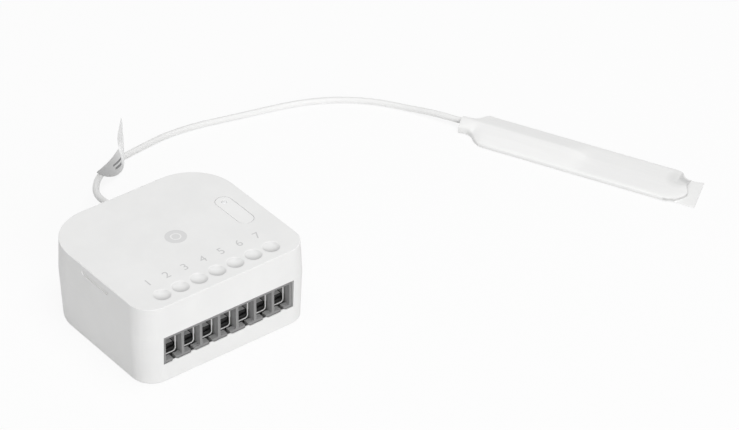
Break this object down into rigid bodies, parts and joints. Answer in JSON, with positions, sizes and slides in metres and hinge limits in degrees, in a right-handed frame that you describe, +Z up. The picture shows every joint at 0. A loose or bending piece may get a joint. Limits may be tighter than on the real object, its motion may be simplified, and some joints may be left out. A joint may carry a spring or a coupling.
{
  "type": "smart relay module",
  "caption": "Small square relay module with rounded corners, a row of clamp terminals in front, a push key on top and a wired flat aerial.",
  "frame": {"origin": "middle of the housing's footprint, on the surface it stands on, without the cable and aerial", "axes": "+X along the row of terminals, +Y from the terminals to the cable side, +Z up through the key"},
  "size_m": [0.155, 0.1018, 0.0207],
  "materials": {
    "housing_white": "fine satin moulding",
    "key_white": "fine satin moulding",
    "clear_guide": "milky clear",
    "terminal_grey": "matt moulding",
    "plated_steel": "bright zinc plate",
    "tinned_brass": "dull tin plate",
    "board_green": "solder mask",
    "relay_black": "smooth sealed case",
    "core_brown": "taped winding and core",
    "can_sleeve": "shrink sleeve on a can",
    "varistor_blue": "dipped coating",
    "resistor_green": "coated body",
    "shield_metal": "drawn sheet",
    "chip_black": "moulded package",
    "switch_black": "moulded body",
    "plunger_brown": "moulded pin",
    "lamp_white": "clear lens",
    "gold_contact": "thin gold plate",
    "cable_white": "smooth jacket",
    "sleeve_white": "shrunk sleeve, soft sheen",
    "label_film": "thin film"
  },
  "bodies": {
    "root": {"base_case": "housing_white", "top_cover": "housing_white", "main_pcb": "board_green", "terminal_block_body": "terminal_grey", "contact_plates": "tinned_brass", "relay_1": "relay_black", "relay_2": "relay_black", "transformer": "core_brown", "capacitors": "can_sleeve", "varistor": "varistor_blue", "fuse_resistor": "resistor_green", "radio_board": "board_green", "radio_chip": "chip_black", "radio_shield": "shield_metal", "coax_socket": "gold_contact", "coax_plug": "gold_contact", "tact_switch_body": "switch_black", "status_led": "lamp_white", "antenna_cable_inner": "cable_white", "antenna_cable": "cable_white", "antenna_cable_tail": "cable_white", "antenna_pcb": "board_green", "antenna_sleeve": "sleeve_white", "cable_flag_label": "label_film"},
    "button": {"button_cap": "key_white", "led_light_guide": "clear_guide", "tact_switch_plunger": "plunger_brown"},
    "cage_1": {"clamp_cage_1": "plated_steel"},
    "screw_1": {"clamp_screw_1": "plated_steel"},
    "cage_2": {"clamp_cage_2": "plated_steel"},
    "screw_2": {"clamp_screw_2": "plated_steel"},
    "cage_3": {"clamp_cage_3": "plated_steel"},
    "screw_3": {"clamp_screw_3": "plated_steel"},
    "cage_4": {"clamp_cage_4": "plated_steel"},
    "screw_4": {"clamp_screw_4": "plated_steel"},
    "cage_5": {"clamp_cage_5": "plated_steel"},
    "screw_5": {"clamp_screw_5": "plated_steel"},
    "cage_6": {"clamp_cage_6": "plated_steel"},
    "screw_6": {"clamp_screw_6": "plated_steel"},
    "cage_7": {"clamp_cage_7": "plated_steel"},
    "screw_7": {"clamp_screw_7": "plated_steel"}
  },
  "joints": [
    {"name": "button_press", "type": "slide", "parent": "root", "child": "button", "axis": [0, 0, -1], "range_m": [0, 0.0003], "stiffness_N_per_m": 1000, "springref_m": -0.0003},
    {"name": "screw_turn_1", "type": "hinge", "parent": "root", "child": "screw_1", "pos_m": [-0.015, -0.01671, 0.004], "axis": [0, 0, 1], "range_deg": [0, 1800]},
    {"name": "cage_lift_1", "type": "slide", "parent": "root", "child": "cage_1", "axis": [0, 0, -1], "range_m": [0, 0.00225]},
    {"name": "screw_turn_2", "type": "hinge", "parent": "root", "child": "screw_2", "pos_m": [-0.01, -0.01671, 0.004], "axis": [0, 0, 1], "range_deg": [0, 1800]},
    {"name": "cage_lift_2", "type": "slide", "parent": "root", "child": "cage_2", "axis": [0, 0, -1], "range_m": [0, 0.00225]},
    {"name": "screw_turn_3", "type": "hinge", "parent": "root", "child": "screw_3", "pos_m": [-0.005, -0.01671, 0.004], "axis": [0, 0, 1], "range_deg": [0, 1800]},
    {"name": "cage_lift_3", "type": "slide", "parent": "root", "child": "cage_3", "axis": [0, 0, -1], "range_m": [0, 0.00225]},
    {"name": "screw_turn_4", "type": "hinge", "parent": "root", "child": "screw_4", "pos_m": [0, -0.01671, 0.004], "axis": [0, 0, 1], "range_deg": [0, 1800]},
    {"name": "cage_lift_4", "type": "slide", "parent": "root", "child": "cage_4", "axis": [0, 0, -1], "range_m": [0, 0.00225]},
    {"name": "screw_turn_5", "type": "hinge", "parent": "root", "child": "screw_5", "pos_m": [0.005, -0.01671, 0.004], "axis": [0, 0, 1], "range_deg": [0, 1800]},
    {"name": "cage_lift_5", "type": "slide", "parent": "root", "child": "cage_5", "axis": [0, 0, -1], "range_m": [0, 0.00225]},
    {"name": "screw_turn_6", "type": "hinge", "parent": "root", "child": "screw_6", "pos_m": [0.01, -0.01671, 0.004], "axis": [0, 0, 1], "range_deg": [0, 1800]},
    {"name": "cage_lift_6", "type": "slide", "parent": "root", "child": "cage_6", "axis": [0, 0, -1], "range_m": [0, 0.00225]},
    {"name": "screw_turn_7", "type": "hinge", "parent": "root", "child": "screw_7", "pos_m": [0.015, -0.01671, 0.004], "axis": [0, 0, 1], "range_deg": [0, 1800]},
    {"name": "cage_lift_7", "type": "slide", "parent": "root", "child": "cage_7", "axis": [0, 0, -1], "range_m": [0, 0.00225]}
  ],
  "couplings": [
    {"joint": "screw_turn_1", "follows": "cage_lift_1", "rad_per_m": 13963},
    {"joint": "screw_turn_2", "follows": "cage_lift_2", "rad_per_m": 13963},
    {"joint": "screw_turn_3", "follows": "cage_lift_3", "rad_per_m": 13963},
    {"joint": "screw_turn_4", "follows": "cage_lift_4", "rad_per_m": 13963},
    {"joint": "screw_turn_5", "follows": "cage_lift_5", "rad_per_m": 13963},
    {"joint": "screw_turn_6", "follows": "cage_lift_6", "rad_per_m": 13963},
    {"joint": "screw_turn_7", "follows": "cage_lift_7", "rad_per_m": 13963}
  ]
}
